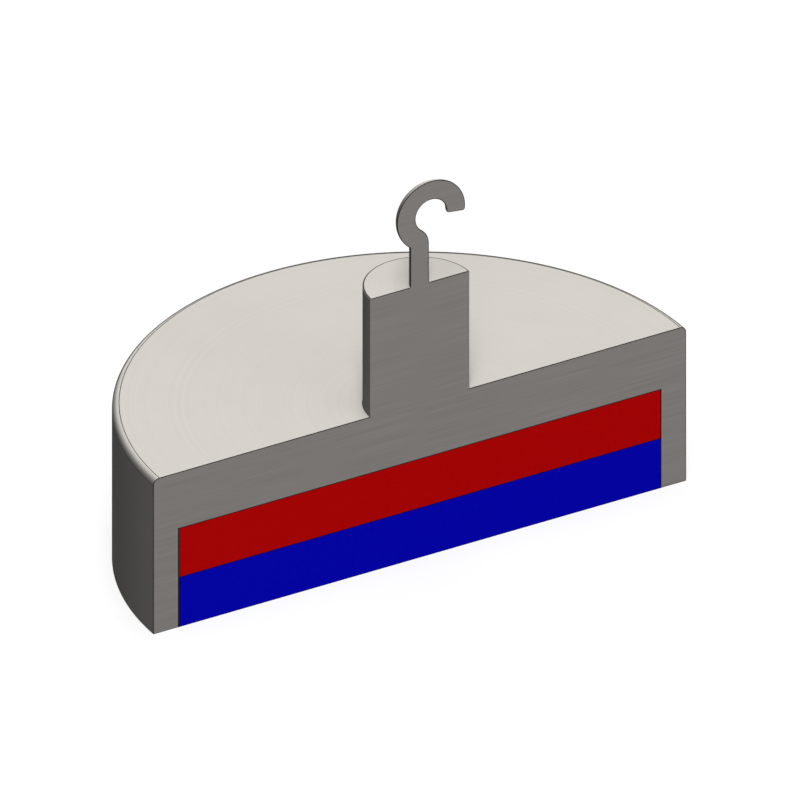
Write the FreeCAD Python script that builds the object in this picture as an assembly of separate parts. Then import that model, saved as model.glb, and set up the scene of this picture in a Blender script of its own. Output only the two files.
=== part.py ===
import FreeCAD, Part
import math
import os

# Half of a hook pot magnet, sawn through its axis as a display sample that shows its section.
# The pot and its solid neck are one turned steel piece. The magnet inside is two bonded discs,
# north pole against the pot's floor and south pole on the open face. A bent wire hook stands
# in a blind bore of the neck.
#
# Frame: the origin is the pot's axis on the magnetic face, +Z runs up the neck to the hook,
# the saw cut lies in the plane Y = 0 and the kept half is on its +Y side. Millimetres.

# Pot and neck
pot_diameter = 86.0
wall_thickness = 4.0
floor_thickness = 9.0
rim_radius = 1.0
neck_diameter = 16.0
neck_height = 19.0
edge_break = 0.1

# Magnet, two discs in the pot
north_height = 8.0
south_height = 8.0
magnet_chamfer = 0.1
bond_gap = 0.1

# Hook, a bent round wire
wire_diameter = 3.0
shank_depth = 10.0
bore_clearance = 0.02
loop_inner_radius = 2.5
loop_offset = 1.85
loop_height = 10.7
bend_inner_radius = 0.1
tip_angle = 7.5
tip_radius = 0.4

# What follows from those sizes
pot_radius = pot_diameter / 2
recess_radius = pot_radius - wall_thickness
recess_depth = south_height + north_height
pot_height = recess_depth + floor_thickness
neck_radius = neck_diameter / 2
neck_top = pot_height + neck_height
magnet_radius = recess_radius - bond_gap
wire_radius = wire_diameter / 2
shank_foot = neck_top - shank_depth

AXIS = FreeCAD.Vector(0, 0, 1)
TOWARDS_CUT = FreeCAD.Vector(0, -1, 0)


def in_plane(x, z):
    """A point of the plane that the piece is later sawn in."""
    return FreeCAD.Vector(x, 0, z)


def ring_edge(solid, radius, height):
    """The round edge of a turned solid that has this radius at this height."""
    def misfit(edge):
        curve = edge.Curve
        return abs(curve.Radius - radius) + abs(curve.Center.z - height)

    rings = [e for e in solid.Edges if isinstance(e.Curve, Part.Circle)]
    return min(rings, key=misfit)


def turned(corners):
    """A whole turned solid from the sharp corners of its half section."""
    outline = Part.makePolygon(corners + corners[:1])
    return Part.Face(outline).revolve(in_plane(0, 0), AXIS, 360)


def sawn(piece):
    """The half of a whole piece that is kept, on the +Y side of the axis."""
    reach = 2 * piece.BoundBox.DiagonalLength
    low = piece.BoundBox.Center.z - reach
    kept_side = Part.makeBox(2 * reach, reach, 2 * reach, FreeCAD.Vector(-reach, 0, low))
    return piece.common(kept_side).removeSplitter()


def make_pot():
    """Turned cup with a solid neck on its floor, and the blind bore for the hook's shank."""
    body = turned([
        in_plane(0, recess_depth),
        in_plane(recess_radius, recess_depth),
        in_plane(recess_radius, 0),
        in_plane(pot_radius, 0),
        in_plane(pot_radius, pot_height),
        in_plane(neck_radius, pot_height),
        in_plane(neck_radius, neck_top),
        in_plane(0, neck_top),
    ])
    body = body.makeFillet(rim_radius, [ring_edge(body, pot_radius, pot_height)])
    broken = [(pot_radius, 0), (recess_radius, 0), (neck_radius, neck_top)]
    body = body.makeChamfer(edge_break, [ring_edge(body, r, z) for r, z in broken])
    bore = Part.makeCylinder(wire_radius + bore_clearance, shank_depth, in_plane(0, shank_foot), AXIS)
    return body.cut(bore)


def make_magnet(height, foot):
    """Pressed and sintered disc with a small chamfer round both faces."""
    disc = Part.makeCylinder(magnet_radius, height, in_plane(0, foot), AXIS)
    rims = [ring_edge(disc, magnet_radius, z) for z in (foot, foot + height)]
    return disc.makeChamfer(magnet_chamfer, rims)


def make_hook():
    """Round wire: a straight shank, a tight bend to one side, then the open loop."""
    loop_radius = loop_inner_radius + wire_radius
    bend_radius = bend_inner_radius + wire_radius
    loop_centre = in_plane(loop_offset, neck_top + loop_height)

    # The bend's centre is one radius beside the shank, where the bend also touches the loop.
    across = loop_offset + bend_radius
    up = math.sqrt((loop_radius + bend_radius) ** 2 - across ** 2)
    bend_centre = in_plane(-bend_radius, loop_centre.z - up)
    bend_turn = math.degrees(math.atan2(up, across))
    loop_turn = 180 + bend_turn + tip_angle

    section = Part.Face(Part.Wire(Part.makeCircle(wire_radius, in_plane(0, shank_foot), AXIS)))
    shank = section.extrude(AXIS * (bend_centre.z - shank_foot))
    section.translate(AXIS * (bend_centre.z - shank_foot))
    bend = section.revolve(bend_centre, TOWARDS_CUT, bend_turn)
    section.rotate(bend_centre, TOWARDS_CUT, bend_turn)
    loop = section.revolve(loop_centre, -TOWARDS_CUT, loop_turn)
    section.rotate(loop_centre, -TOWARDS_CUT, loop_turn)

    tip = section.CenterOfMass
    wire = shank.fuse([bend, loop]).removeSplitter()
    tip_edge = min(wire.Edges, key=lambda edge: edge.CenterOfMass.distanceToPoint(tip))
    return wire.makeFillet(tip_radius, [tip_edge])


whole_pieces = {
    "pot": make_pot(),
    "hook": make_hook(),
    "magnet_north": make_magnet(north_height, south_height),
    "magnet_south": make_magnet(south_height, 0),
}

os.makedirs("parts", exist_ok=True)
for node, whole in whole_pieces.items():
    half = sawn(whole)
    half.exportStep(f"parts/{node}.step")
    print(f"{node}: {len(half.Solids)} solid, {half.Volume / 1000:.3f} cm3, valid {half.isValid()}")
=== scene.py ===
import math

import bmesh
import bpy
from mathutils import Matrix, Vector


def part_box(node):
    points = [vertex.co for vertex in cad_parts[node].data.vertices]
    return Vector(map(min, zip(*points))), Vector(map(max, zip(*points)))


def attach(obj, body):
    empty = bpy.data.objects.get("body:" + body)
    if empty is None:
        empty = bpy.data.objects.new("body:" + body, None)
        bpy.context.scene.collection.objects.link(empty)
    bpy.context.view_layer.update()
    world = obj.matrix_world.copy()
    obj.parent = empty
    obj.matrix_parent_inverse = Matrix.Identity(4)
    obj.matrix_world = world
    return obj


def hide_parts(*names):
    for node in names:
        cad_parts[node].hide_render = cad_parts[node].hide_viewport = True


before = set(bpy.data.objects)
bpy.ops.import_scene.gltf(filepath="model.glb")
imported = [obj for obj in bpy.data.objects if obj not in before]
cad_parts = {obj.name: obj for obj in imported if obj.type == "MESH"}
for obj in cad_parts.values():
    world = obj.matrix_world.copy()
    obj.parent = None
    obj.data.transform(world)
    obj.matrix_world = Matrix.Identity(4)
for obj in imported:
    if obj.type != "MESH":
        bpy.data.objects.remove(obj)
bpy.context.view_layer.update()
mm = 0.001

# The picture: a parallel view of the half magnet, from 30 degrees to its left and 30 degrees up.
# The pot's axis meets the magnetic face at the origin, and where the picture shows that point fixes
# where the picture's middle is. The width lets the half fill the drawn outline to its outer side.
view_azimuth = math.radians(-30)
view_elevation = math.radians(30)
picture_pixels = 800
picture_width = 111.75 * mm
axis_foot_pixel = Vector((419.7, 557.65))
camera_distance = 500 * mm
camera_near = 1 * mm
camera_far = 4000 * mm

towards_camera = Vector((
    math.sin(view_azimuth) * math.cos(view_elevation),
    -math.cos(view_azimuth) * math.cos(view_elevation),
    math.sin(view_elevation),
))
camera_turn = towards_camera.to_track_quat("Z", "Y")
pixel = picture_width / picture_pixels
from_foot = (Vector((picture_pixels, picture_pixels)) / 2 - axis_foot_pixel) * pixel
picture_middle = camera_turn @ Vector((from_foot.x, -from_foot.y, 0))

bpy.ops.object.camera_add(
    location=picture_middle + towards_camera * camera_distance,
    rotation=camera_turn.to_euler(),
)
camera = bpy.context.object
camera.data.type = "ORTHO"
camera.data.ortho_scale = picture_width
camera.data.clip_start = camera_near
camera.data.clip_end = camera_far
bpy.context.scene.camera = camera

# The pot: one piece of mild steel, turned on a lathe together with its solid neck and plated with dull
# zinc. It was sawn through its axis and ground flat, and a file broke the free edges of that bare cut,
# apart from the neck's sides. The hook's shank stands in a blind bore in the neck and fills it.
pot_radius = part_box("pot")[1].x
neck_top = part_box("pot")[1].z
recess_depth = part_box("magnet_north")[1].z
pot_height = 25 * mm
wall = 4 * mm
neck_radius = 8 * mm
rim_round = 1 * mm
broken_edge = 0.1 * mm
bore_radius = 1.5 * mm
bore_depth = 10 * mm
turn_steps = 256
rim_steps = 10
smooth_angle = math.radians(30)

# How close counts as at a place, or as in the saw's plane, and how square counts as facing a direction.
near = 0.02 * mm
saw_play = 0.0001 * mm
squarely = 0.99


def pick(piece, kind, test):
    """Selects what passes the test among the faces or edges of the piece that is being edited."""
    bpy.ops.mesh.select_mode(type=kind)
    bpy.ops.mesh.select_all(action="DESELECT")
    shape = bmesh.from_edit_mesh(piece.data)
    for item in shape.faces if kind == "FACE" else shape.edges:
        if test(item):
            item.select = True
    bmesh.update_edit_mesh(piece.data)


def on_ring(radius, height):
    """A test for the edges of the ring of this radius at this height."""
    def test(edge):
        return all(
            abs(v.co.xy.length - radius) < near and abs(v.co.z - height) < near for v in edge.verts
        )
    return test


def on_cut(face):
    """A test for the faces that lie in the saw cut."""
    return face.normal.y < -squarely and abs(face.calc_center_median().y) < near


def open_edge(place):
    """Whether a place on the cut's outline was filed: not by the shank, the magnet or up the neck."""
    across = abs(place.x)
    by_shank = across < bore_radius + facet_width and place.z > neck_top - bore_depth - facet_width
    by_magnet = across < pot_radius - wall + facet_width and place.z < recess_depth + facet_width
    up_neck = across > neck_radius - facet_width and place.z > pot_height + near
    return place.z > neck_top or not (by_shank or by_magnet or up_neck)


def saw(piece):
    """Cuts the piece that is being edited through the axis, and closes the face of the cut."""
    bpy.ops.mesh.select_all(action="SELECT")
    bpy.ops.mesh.bisect(
        plane_co=(0, 0, 0), plane_no=(0, 1, 0), use_fill=True, clear_inner=True, threshold=saw_play
    )
    pick(piece, "FACE", on_cut)


def give(piece, material, test):
    """Gives the faces that pass the test a material of their own."""
    if material.name not in piece.data.materials:
        piece.data.materials.append(material)
    pick(piece, "FACE", test)
    piece.active_material_index = piece.data.materials.find(material.name)
    bpy.ops.object.material_slot_assign()


def line_cut(piece, width, material, where):
    """Gives a strip along the cut's outline a material, where a test of the place says so."""
    bpy.ops.mesh.inset(thickness=width)
    give(piece, material, lambda face: (
        on_cut(face) and len(face.verts) == 4 and where(face.calc_center_median())
    ))


def break_cut_edges(piece):
    """Files the cut's free edges to a narrow facet, which is painted dark as an outline."""
    line_cut(piece, facet_width, dark_edge, open_edge)
    pick(piece, "EDGE", lambda edge: (
        sum(on_cut(face) for face in edge.link_faces) == 1
        and open_edge((edge.verts[0].co + edge.verts[1].co) / 2)
    ))
    bpy.ops.transform.translate(value=(0, facet_drop, 0))


def finish_shape(piece):
    """Leaves edit mode, smooths the round faces and keeps the flat ones flat."""
    bpy.ops.object.mode_set(mode="OBJECT")
    bpy.ops.object.shade_smooth_by_angle(angle=smooth_angle)
    flat_faces = piece.modifiers.new("flat_faces", "WEIGHTED_NORMAL")
    flat_faces.keep_sharp = True
    bpy.ops.object.modifier_apply(modifier=flat_faces.name)


def linear(colour):
    """A colour written as #RRGGBB in sRGB, turned into the linear values that a shader takes."""
    values = [int(colour[i:i + 2], 16) / 255 for i in (1, 3, 5)]
    return [v / 12.92 if v <= 0.04045 else ((v + 0.055) / 1.055) ** 2.4 for v in values] + [1]


def new_nodes(owner):
    """The empty node tree of a new material or world."""
    owner.use_nodes = True
    owner.node_tree.nodes.clear()
    return owner.node_tree


def add(tree, kind, inputs, **settings):
    """Adds a node with these settings. An input is a value, or the output that it is linked to."""
    node = tree.nodes.new("ShaderNode" + kind)
    for name, value in settings.items():
        setattr(node, name, value)
    for name, value in inputs.items():
        if isinstance(value, bpy.types.NodeSocket):
            tree.links.new(value, node.inputs[name])
        else:
            node.inputs[name].default_value = value
    return node


# Dull zinc on turned mild steel: a matt, slightly warm grey skin that hardly mirrors anything. Its colour
# holds painted light and shade: light on faces that look up, mid grey on walls and undersides, and a
# painted shade darker again on the sides of neck and hook. The tool's fine rings show through it.
feed = 0.2 * mm
drawn_feed = 3 * feed     # the rings are drawn three times as coarse as they are, so that they show
ring_depth = 0.02 * mm
cloud_size = 6 * mm
cloud_share = 0.4
skin_roughness = (0.7, 0.85)
painted_light_falloff = 3.6     # the higher, the nearer to the flat its light tone ends on the rim's round

# Dark outlines are painted where turned faces meet. A place on the turned outline is given as
# radius less height, which grows all the way from the neck's top outwards and down. A line is fully
# dark over its width, and fades out over half that width on either side.
flat_end = pot_radius - rim_round - pot_height
wall_start = pot_radius + rim_round - pot_height
neck_foot = neck_radius - pot_height
neck_edge = neck_radius - broken_edge - neck_top
flat_line = 0.08 * mm
corner_line = 0.09 * mm
neck_edge_line = 2 * corner_line
line_firmness = 2

# A broader painted dark outline lies on the rim's round, at the back. It starts just above the wall on
# the left, climbs towards the flat, ever more gently, as far as the side straight behind, and falls again
# to the right.
far_outline_side = (0.5, 0.87, 0)
far_outline_line = 0.7 * mm
far_outline_above_wall = 0.26 * mm
far_outline_climb = 2.05 * mm
far_outline_levelling = 0.7 * mm
far_outline_growth = 0.15     # the share of the way to the back over which the mark grows to its full width

dull_zinc = bpy.data.materials.new("dull_zinc_on_turned_steel")
tree = new_nodes(dull_zinc)
coordinates = add(tree, "TexCoord", {})
place = coordinates.outputs["Object"]
split = add(tree, "SeparateXYZ", {"Vector": place})
flat_place = add(tree, "CombineXYZ", {"X": split.outputs["X"], "Y": split.outputs["Y"]})
radius = add(tree, "VectorMath", {0: flat_place.outputs[0]}, operation="LENGTH")
tool_path = add(tree, "Math", {0: radius.outputs["Value"], 1: split.outputs["Z"]}, operation="SUBTRACT")
rings = add(
    tree, "TexNoise",
    {"W": tool_path.outputs[0], "Scale": 1 / drawn_feed, "Detail": 3, "Roughness": 0.6},
    noise_dimensions="1D",
)
clouds = add(tree, "TexNoise", {"Vector": place, "Scale": 1 / cloud_size, "Detail": 3})
tone = add(tree, "Mix", {"Factor": cloud_share, "A": rings.outputs[0], "B": clouds.outputs[0]})
flat_colour = add(tree, "Mix", {
    "Factor": tone.outputs["Result"], "A": linear("#CFCAC4"), "B": linear("#DBD6D0"),
}, data_type="RGBA")
# The walls' painted shade, on surfaces that do not face up.
painted_wall_shade = add(tree, "Mix", {
    "Factor": tone.outputs["Result"], "A": linear("#615E5C"), "B": linear("#6C6A66"),
}, data_type="RGBA")
# Painted shade: above the pot's top, on the sides of neck and hook, the walls are darker still.
painted_shade_above_pot = add(tree, "Math", {0: split.outputs["Z"], 1: pot_height}, operation="GREATER_THAN")
painted_wall_shade = add(tree, "Mix", {
    "Factor": painted_shade_above_pot.outputs[0], "A": painted_wall_shade.outputs["Result"], "B": linear("#E4E4E4"),
}, data_type="RGBA", blend_type="MULTIPLY")
# Painted light and shade: the colour turns from the walls' painted shade to the flats' tone as the
# surface comes to face up.
facing = add(tree, "SeparateXYZ", {"Vector": coordinates.outputs["Normal"]})
painted_light_mask = add(tree, "Math", {0: facing.outputs["Z"], 1: 0.0}, operation="MAXIMUM")
painted_light_mask = add(tree, "Math", {0: painted_light_mask.outputs[0], 1: painted_light_falloff}, operation="POWER")
zinc_colour = add(tree, "Mix", {
    "Factor": painted_light_mask.outputs[0], "A": painted_wall_shade.outputs["Result"], "B": flat_colour.outputs["Result"],
}, data_type="RGBA")
# The broader painted dark outline on the rim's back: its width and its place on the turned outline.
to_back = add(tree, "VectorMath", {0: place, 1: far_outline_side}, operation="DOT_PRODUCT")
share_back = add(tree, "MapRange", {"Value": to_back.outputs["Value"], "From Max": pot_radius})
far_outline_width = add(tree, "MapRange", {
    "Value": share_back.outputs[0], "From Max": far_outline_growth, "To Max": far_outline_line,
})
climb = add(tree, "Math", {
    0: share_back.outputs[0], 1: far_outline_levelling, 2: -far_outline_climb,
}, operation="MULTIPLY_ADD")
far_outline_spot = add(tree, "Math", {
    0: climb.outputs[0], 1: share_back.outputs[0], 2: wall_start - far_outline_above_wall,
}, operation="MULTIPLY_ADD")
# Painted dark outlines where turned faces meet, and the broader one on the rim's back.
line = None
for spot, width in (
    (flat_end, flat_line), (far_outline_spot.outputs[0], far_outline_width.outputs[0]),
    (wall_start, corner_line), (neck_foot, corner_line), (neck_edge, neck_edge_line),
):
    away = add(tree, "Math", {0: tool_path.outputs[0], 1: spot}, operation="SUBTRACT")
    away = add(tree, "Math", {0: away.outputs[0]}, operation="ABSOLUTE")
    here = add(tree, "MapRange", {
        "Value": away.outputs[0], "From Min": width, "From Max": 0.0,
        "To Min": 0, "To Max": line_firmness,
    })
    line = here if line is None else add(
        tree, "Math", {0: line.outputs[0], 1: here.outputs[0]}, operation="MAXIMUM"
    )
skin_colour = add(tree, "Mix", {
    "Factor": line.outputs[0], "A": zinc_colour.outputs["Result"], "B": linear("#4B4845"),
}, data_type="RGBA")
ring_bump = add(tree, "Bump", {"Height": rings.outputs[0], "Strength": 0.5, "Distance": ring_depth})
spread = add(tree, "MapRange", {
    "Value": rings.outputs[0], "To Min": skin_roughness[0], "To Max": skin_roughness[1],
})
skin = add(tree, "BsdfPrincipled", {
    "Base Color": skin_colour.outputs["Result"],
    "Metallic": 0.0,
    "Roughness": spread.outputs[0],
    "Specular IOR Level": 0.01,
    "Normal": ring_bump.outputs[0],
})
add(tree, "OutputMaterial", {"Surface": skin.outputs[0]})

# Ground mild steel, bare: a mid, warm grey metal, satin, with fine lines along the wheel's path.
grit_line = 0.1 * mm
drawn_grit_line = 3 * grit_line     # drawn three times as coarse as a 60 grit wheel's, so that they show
line_length = 15 * mm
line_depth = 0.01 * mm
steel_roughness = (0.36, 0.5)

ground_steel = bpy.data.materials.new("ground_mild_steel")
tree = new_nodes(ground_steel)
place = add(tree, "TexCoord", {}).outputs["Object"]
along = add(tree, "Mapping", {"Vector": place, "Scale": (1 / line_length, 1, 1 / drawn_grit_line)})
lines = add(tree, "TexNoise", {"Vector": along.outputs[0], "Scale": 1, "Detail": 4, "Roughness": 0.65})
steel_colour = add(tree, "Mix", {
    "Factor": lines.outputs[0], "A": linear("#615E5B"), "B": linear("#76726F"),
}, data_type="RGBA")
line_bump = add(tree, "Bump", {"Height": lines.outputs[0], "Strength": 0.3, "Distance": line_depth})
spread = add(tree, "MapRange", {
    "Value": lines.outputs[0], "To Min": steel_roughness[0], "To Max": steel_roughness[1],
})
bare = add(tree, "BsdfPrincipled", {
    "Base Color": steel_colour.outputs["Result"],
    "Metallic": 0.8,
    "Roughness": spread.outputs[0],
    "Normal": line_bump.outputs[0],
})
add(tree, "OutputMaterial", {"Surface": bare.outputs[0]})

# The filed facet along the cut's edges, painted dark as an outline of the cut. It runs out over a short
# way at the neck's foot, and beside the shank at the neck's top.
facet_width = 0.12 * mm
facet_drop = 0.04 * mm
facet_end = 2 * facet_width
dust_size = 0.5 * mm

dark_edge = bpy.data.materials.new("steel_edge_painted_dark")
tree = new_nodes(dark_edge)
place = add(tree, "TexCoord", {}).outputs["Object"]
dust = add(tree, "TexNoise", {"Vector": place, "Scale": 1 / dust_size, "Detail": 2})
edge_colour = add(tree, "Mix", {
    "Factor": dust.outputs[0], "A": linear("#0C0B0A"), "B": linear("#1C1A18"),
}, data_type="RGBA")
edge_shader = add(tree, "BsdfPrincipled", {
    "Base Color": edge_colour.outputs["Result"],
    "Roughness": 0.7,
    "Specular IOR Level": 0.02,
})
add(tree, "OutputMaterial", {"Surface": edge_shader.outputs[0]})

# The neck is drawn up from the top face and the bore sunk into it, then the recess into the underside.
bpy.ops.object.select_all(action="DESELECT")
bpy.ops.mesh.primitive_cylinder_add(
    vertices=turn_steps, radius=pot_radius, depth=pot_height, location=(0, 0, pot_height / 2)
)
pot = bpy.context.object
pot.name = "turned_pot"
bpy.ops.object.transform_apply()
pot.data.materials.append(dull_zinc)
bpy.ops.object.mode_set(mode="EDIT")
pick(pot, "FACE", lambda face: face.normal.z > squarely)
bpy.ops.mesh.inset(thickness=pot_radius - neck_radius)
for rise in (facet_end, neck_top - pot_height - facet_end):
    bpy.ops.mesh.extrude_region_move(TRANSFORM_OT_translate={"value": (0, 0, rise)})
bpy.ops.mesh.inset(thickness=neck_radius - bore_radius)
for fall in (facet_end, bore_depth - facet_end):
    bpy.ops.mesh.extrude_region_move(TRANSFORM_OT_translate={"value": (0, 0, -fall)})
pick(pot, "FACE", lambda face: face.normal.z < -squarely)
bpy.ops.mesh.inset(thickness=wall)
bpy.ops.mesh.extrude_region_move(TRANSFORM_OT_translate={"value": (0, 0, recess_depth)})
pick(pot, "EDGE", on_ring(pot_radius, pot_height))
bpy.ops.mesh.bevel(offset=rim_round, segments=rim_steps, affect="EDGES")
for ring in ((pot_radius, 0), (pot_radius - wall, 0), (neck_radius, neck_top)):
    pick(pot, "EDGE", on_ring(*ring))
    bpy.ops.mesh.bevel(offset=broken_edge, segments=1, affect="EDGES")
saw(pot)
give(pot, ground_steel, on_cut)
break_cut_edges(pot)
finish_shape(pot)
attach(pot, "root")
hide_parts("pot")

# The magnet: two discs of sintered ferrite, pressed with a small chamfer on each rim, and bonded to each
# other and into the pot. Red lacquer marks the north pole and blue the south pole. It stops short of the
# cut's outline, where black ferrite shows, and only the lower disc's runs on to the upper disc.
discs_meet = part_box("magnet_south")[1].z
magnet_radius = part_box("magnet_south")[1].x
ferrite_line = 0.12 * mm
ferrite_corner = 2 * ferrite_line
grain_size = 0.3 * mm

bare_ferrite = bpy.data.materials.new("sintered_ferrite")
tree = new_nodes(bare_ferrite)
place = add(tree, "TexCoord", {}).outputs["Object"]
grain = add(tree, "TexNoise", {"Vector": place, "Scale": 1 / grain_size, "Detail": 2})
ferrite_colour = add(tree, "Mix", {
    "Factor": grain.outputs[0], "A": linear("#050505"), "B": linear("#100F0F"),
}, data_type="RGBA")
ferrite = add(tree, "BsdfPrincipled", {
    "Base Color": ferrite_colour.outputs["Result"],
    "Roughness": 0.7,
    "Specular IOR Level": 0.02,
})
add(tree, "OutputMaterial", {"Surface": ferrite.outputs[0]})


def bare_border(place):
    """Whether a place along a disc's outline in the cut is bare: all of it but the lower disc's top."""
    lower_top = discs_meet - ferrite_line < place.z < discs_meet
    return abs(place.x) > magnet_radius - ferrite_corner or not lower_top


def pole_lacquer(name, dark, light):
    """Sprayed signal lacquer over ground ferrite: deep, even and matt, with a faint orange peel."""
    peel_size = 0.8 * mm
    peel_depth = 0.02 * mm
    lacquer = bpy.data.materials.new(name)
    tree = new_nodes(lacquer)
    place = add(tree, "TexCoord", {}).outputs["Object"]
    peel = add(tree, "TexNoise", {"Vector": place, "Scale": 1 / peel_size, "Detail": 2})
    colour = add(tree, "Mix", {
        "Factor": peel.outputs[0], "A": linear(dark), "B": linear(light),
    }, data_type="RGBA")
    peel_bump = add(tree, "Bump", {"Height": peel.outputs[0], "Strength": 0.3, "Distance": peel_depth})
    coat = add(tree, "BsdfPrincipled", {
        "Base Color": colour.outputs["Result"],
        "Roughness": 0.5,
        "Specular IOR Level": 0.03,
        "Normal": peel_bump.outputs[0],
    })
    add(tree, "OutputMaterial", {"Surface": coat.outputs[0]})
    return lacquer


for node, slot, dark, light in (
    ("magnet_north", "north_red", "#930000", "#A10000"),
    ("magnet_south", "south_blue", "#000093", "#0000A1"),
):
    low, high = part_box(node)
    bpy.ops.object.select_all(action="DESELECT")
    bpy.ops.mesh.primitive_cylinder_add(
        vertices=turn_steps, radius=high.x, depth=high.z - low.z, location=(0, 0, (low.z + high.z) / 2)
    )
    disc = bpy.context.object
    disc.name = node + "_disc"
    bpy.ops.object.transform_apply()
    disc.data.materials.append(pole_lacquer(slot + "_lacquer", dark, light))
    bpy.ops.object.mode_set(mode="EDIT")
    for height in (low.z, high.z):
        pick(disc, "EDGE", on_ring(high.x, height))
        bpy.ops.mesh.bevel(offset=broken_edge, segments=1, affect="EDGES")
    saw(disc)
    line_cut(disc, ferrite_line, bare_ferrite, bare_border)
    finish_shape(disc)
    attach(disc, "root")
    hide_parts(node)

# The bond: black epoxy resin, run into the ring between magnet and wall with the pot upside down, and
# ground flush with the magnetic face. At the face it widens into the chamfers on both sides.
bond_gap = pot_radius - wall - magnet_radius
bond_middle = magnet_radius + bond_gap / 2
bond_top = broken_edge + bond_gap
mouth_widening = (bond_gap + 2 * broken_edge) / bond_gap
filler_size = 0.5 * mm

epoxy = bpy.data.materials.new("black_epoxy_resin")
tree = new_nodes(epoxy)
place = add(tree, "TexCoord", {}).outputs["Object"]
filler = add(tree, "TexNoise", {"Vector": place, "Scale": 1 / filler_size, "Detail": 3})
resin_colour = add(tree, "Mix", {
    "Factor": filler.outputs[0], "A": linear("#100F0E"), "B": linear("#24211F"),
}, data_type="RGBA")
resin = add(tree, "BsdfPrincipled", {
    "Base Color": resin_colour.outputs["Result"],
    "Roughness": 0.5,
    "Specular IOR Level": 0.05,
})
add(tree, "OutputMaterial", {"Surface": resin.outputs[0]})

# The ring's section starts as a small square in the cut. It is drawn up, drawn down into the widening
# mouth, and swept half round the axis.
bpy.ops.object.select_all(action="DESELECT")
bpy.ops.mesh.primitive_plane_add(
    size=bond_gap, location=(bond_middle, 0, broken_edge + bond_gap / 2), rotation=(math.pi / 2, 0, 0)
)
bond = bpy.context.object
bond.name = "epoxy_bond"
bpy.ops.object.transform_apply()
bond.data.materials.append(epoxy)
bpy.ops.object.mode_set(mode="EDIT")
pick(bond, "EDGE", lambda edge: all(abs(v.co.z - bond_top) < near for v in edge.verts))
bpy.ops.mesh.extrude_region_move(
    TRANSFORM_OT_translate={"value": (0, 0, recess_depth - broken_edge - bond_top)}
)
pick(bond, "EDGE", lambda edge: all(abs(v.co.z - broken_edge) < near for v in edge.verts))
bpy.ops.mesh.extrude_region_move(TRANSFORM_OT_translate={"value": (0, 0, -broken_edge)})
bpy.ops.transform.resize(value=(mouth_widening, 1, 1), center_override=(bond_middle, 0, 0))
bpy.ops.mesh.select_all(action="SELECT")
bpy.ops.mesh.spin(steps=turn_steps // 2, angle=math.pi, center=(0, 0, 0), axis=(0, 0, -1))
bpy.ops.mesh.select_all(action="SELECT")
bpy.ops.mesh.normals_make_consistent(inside=False)
finish_shape(bond)
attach(bond, "root")

# The hook: drawn steel wire, bent cold round a pin into a shank, a tight bend and an open loop, and
# zinc plated like the pot. Its shank stands in the neck's bore, and the saw halved it with the rest.
shank_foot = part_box("hook")[0].z
wire_radius = 1.5 * mm
wire_steps = 48
bend_radius = 1.6 * mm
bend_steps = 14
loop_radius = 4 * mm
loop_centre = Vector((1.85 * mm, 0, 54.7 * mm))
loop_steps = 80
tip_round = 0.4 * mm
tip_round_steps = 5
tip_turn = math.radians(7.5)
tip_step = math.radians(10)     # one long last step of the loop, so that the tip's round fits into it

# The bend's arc touches the shank's line and the loop's circle, which it meets from outside.
bend_across = loop_centre.x + bend_radius
bend_up = math.sqrt((loop_radius + bend_radius) ** 2 - bend_across ** 2)
bend_centre = Vector((-bend_radius, 0, loop_centre.z - bend_up))
bend_turn = math.atan2(bend_up, bend_across)
loop_turn = math.pi + bend_turn + tip_turn

bpy.ops.object.select_all(action="DESELECT")
bpy.ops.mesh.primitive_circle_add(
    vertices=wire_steps, radius=wire_radius, fill_type="NGON", location=(0, 0, shank_foot)
)
hook = bpy.context.object
hook.name = "wire_hook"
bpy.ops.object.transform_apply()
hook.data.materials.append(dull_zinc)
bpy.ops.object.mode_set(mode="EDIT")
bpy.ops.mesh.select_all(action="SELECT")
for rise in (neck_top - facet_end - shank_foot, facet_end, bend_centre.z - neck_top):
    bpy.ops.mesh.extrude_region_move(TRANSFORM_OT_translate={"value": (0, 0, rise)})
for steps, turn, centre, axis in (
    (bend_steps, bend_turn, bend_centre, (0, 1, 0)),
    (loop_steps, loop_turn - tip_step, loop_centre, (0, -1, 0)),
    (1, tip_step, loop_centre, (0, -1, 0)),
):
    bpy.ops.mesh.spin(steps=steps, angle=turn, center=centre, axis=axis)
bpy.ops.mesh.bevel(offset=tip_round, segments=tip_round_steps, affect="EDGES")
saw(hook)
give(hook, ground_steel, on_cut)
break_cut_edges(hook)
finish_shape(hook)
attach(hook, "root")
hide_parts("hook")

# The studio: a white floor in a white room, a long softbox above, three low strip lights round the
# object and a softbox below. The long one runs along the picture's line of sight, so that neck and hook
# shade hardly anything beside them.
floor_size = 6000 * mm
floor_drop = 0.02 * mm
floor_glow = 0.75
glow_strength = 1.05
room_light = 0.25
softbox_distance = 900 * mm
object_middle = Vector((0, 20 * mm, 15 * mm))


def seen_white(tree):
    """The factor that is 1 for what the camera sees, directly, mirrored or through glass, and else 0."""
    rays = add(tree, "LightPath", {}).outputs
    seen = add(tree, "Math", {0: rays["Is Camera Ray"], 1: rays["Is Glossy Ray"]}, operation="MAXIMUM")
    seen = add(tree, "Math", {0: seen.outputs[0], 1: rays["Is Transmission Ray"]}, operation="MAXIMUM")
    return seen.outputs[0]


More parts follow.
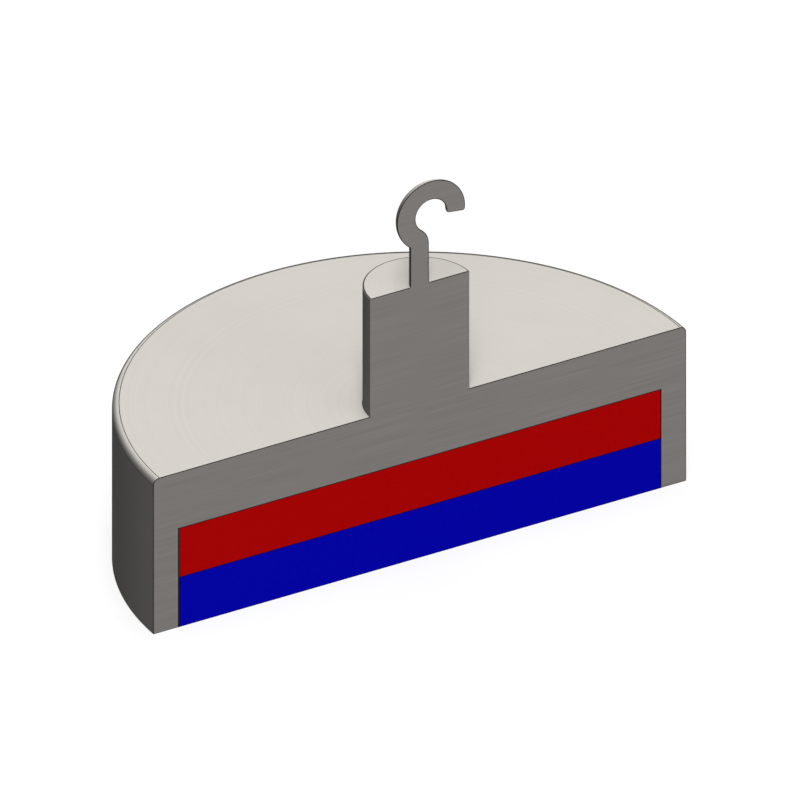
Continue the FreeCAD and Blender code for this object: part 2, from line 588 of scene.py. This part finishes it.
# Floor and room are white where they are seen, and dim in the light that they throw on the object, so
# that its left side stays in shade. From below, the floor is clear.
white_floor = bpy.data.materials.new("white_floor")
tree = new_nodes(white_floor)
paper = add(tree, "BsdfDiffuse", {"Color": linear("#FFFFFF")})
glow = add(tree, "Emission", {"Color": linear("#FFFFFF"), "Strength": glow_strength})
pale = add(tree, "MixShader", {0: floor_glow, 1: paper.outputs[0], 2: glow.outputs[0]})
dim = add(tree, "BsdfDiffuse", {"Color": linear("#303030")})
floor_shader = add(tree, "MixShader", {0: seen_white(tree), 1: dim.outputs[0], 2: pale.outputs[0]})
clear = add(tree, "BsdfTransparent", {})
from_below = add(tree, "NewGeometry", {}).outputs["Backfacing"]
one_sided = add(tree, "MixShader", {0: from_below, 1: floor_shader.outputs[0], 2: clear.outputs[0]})
add(tree, "OutputMaterial", {"Surface": one_sided.outputs[0]})

bpy.ops.object.select_all(action="DESELECT")
bpy.ops.mesh.primitive_plane_add(size=floor_size, location=(0, 0, -floor_drop))
floor = bpy.context.object
floor.name = "floor"
floor.data.materials.append(white_floor)

world = bpy.data.worlds.new("white_room")
bpy.context.scene.world = world
tree = new_nodes(world)
strength = add(tree, "MapRange", {"Value": seen_white(tree), "To Min": room_light, "To Max": 1.0})
room = add(tree, "Background", {"Color": linear("#FFFFFF"), "Strength": strength.outputs[0]})
add(tree, "OutputWorld", {"Surface": room.outputs[0]})

for name, direction, width, height, level in (
    ("overhead_softbox", Vector((-0.13, -0.225, 1)), 200 * mm, 1200 * mm, 0.885),
    ("front_strip", Vector((0.45, -1, 0.08)), 500 * mm, 100 * mm, 0.35),
    ("left_strip", Vector((-0.7, -1, 0.05)), 300 * mm, 100 * mm, 0.47),
    ("back_strip", Vector((0.5, 0.85, 0.05)), 300 * mm, 100 * mm, 1.0),
    ("underside_softbox", Vector((0, 0, -1)), 300 * mm, 300 * mm, 0.9),
):
    direction.normalize()
    bpy.ops.object.light_add(
        type="AREA",
        location=object_middle + direction * softbox_distance,
        rotation=direction.to_track_quat("Z", "Y").to_euler(),
    )
    softbox = bpy.context.object
    softbox.name = name
    softbox.data.shape = "RECTANGLE"
    softbox.data.size = width
    softbox.data.size_y = height
    # A white card that faces the softbox at this distance renders at about this level, where 1 is white.
    softbox.data.energy = level * math.pi ** 2 * softbox_distance ** 2

# The softbox below is there for views of the magnetic face, and the floor lets its light through.
let_through = bpy.data.collections.new("lets_light_from_below_through")
let_through.objects.link(floor)
bpy.data.objects["underside_softbox"].light_linking.blocker_collection = let_through
let_through.collection_objects[0].light_linking.link_state = "EXCLUDE"

bpy.context.scene.view_settings.view_transform = "Standard"
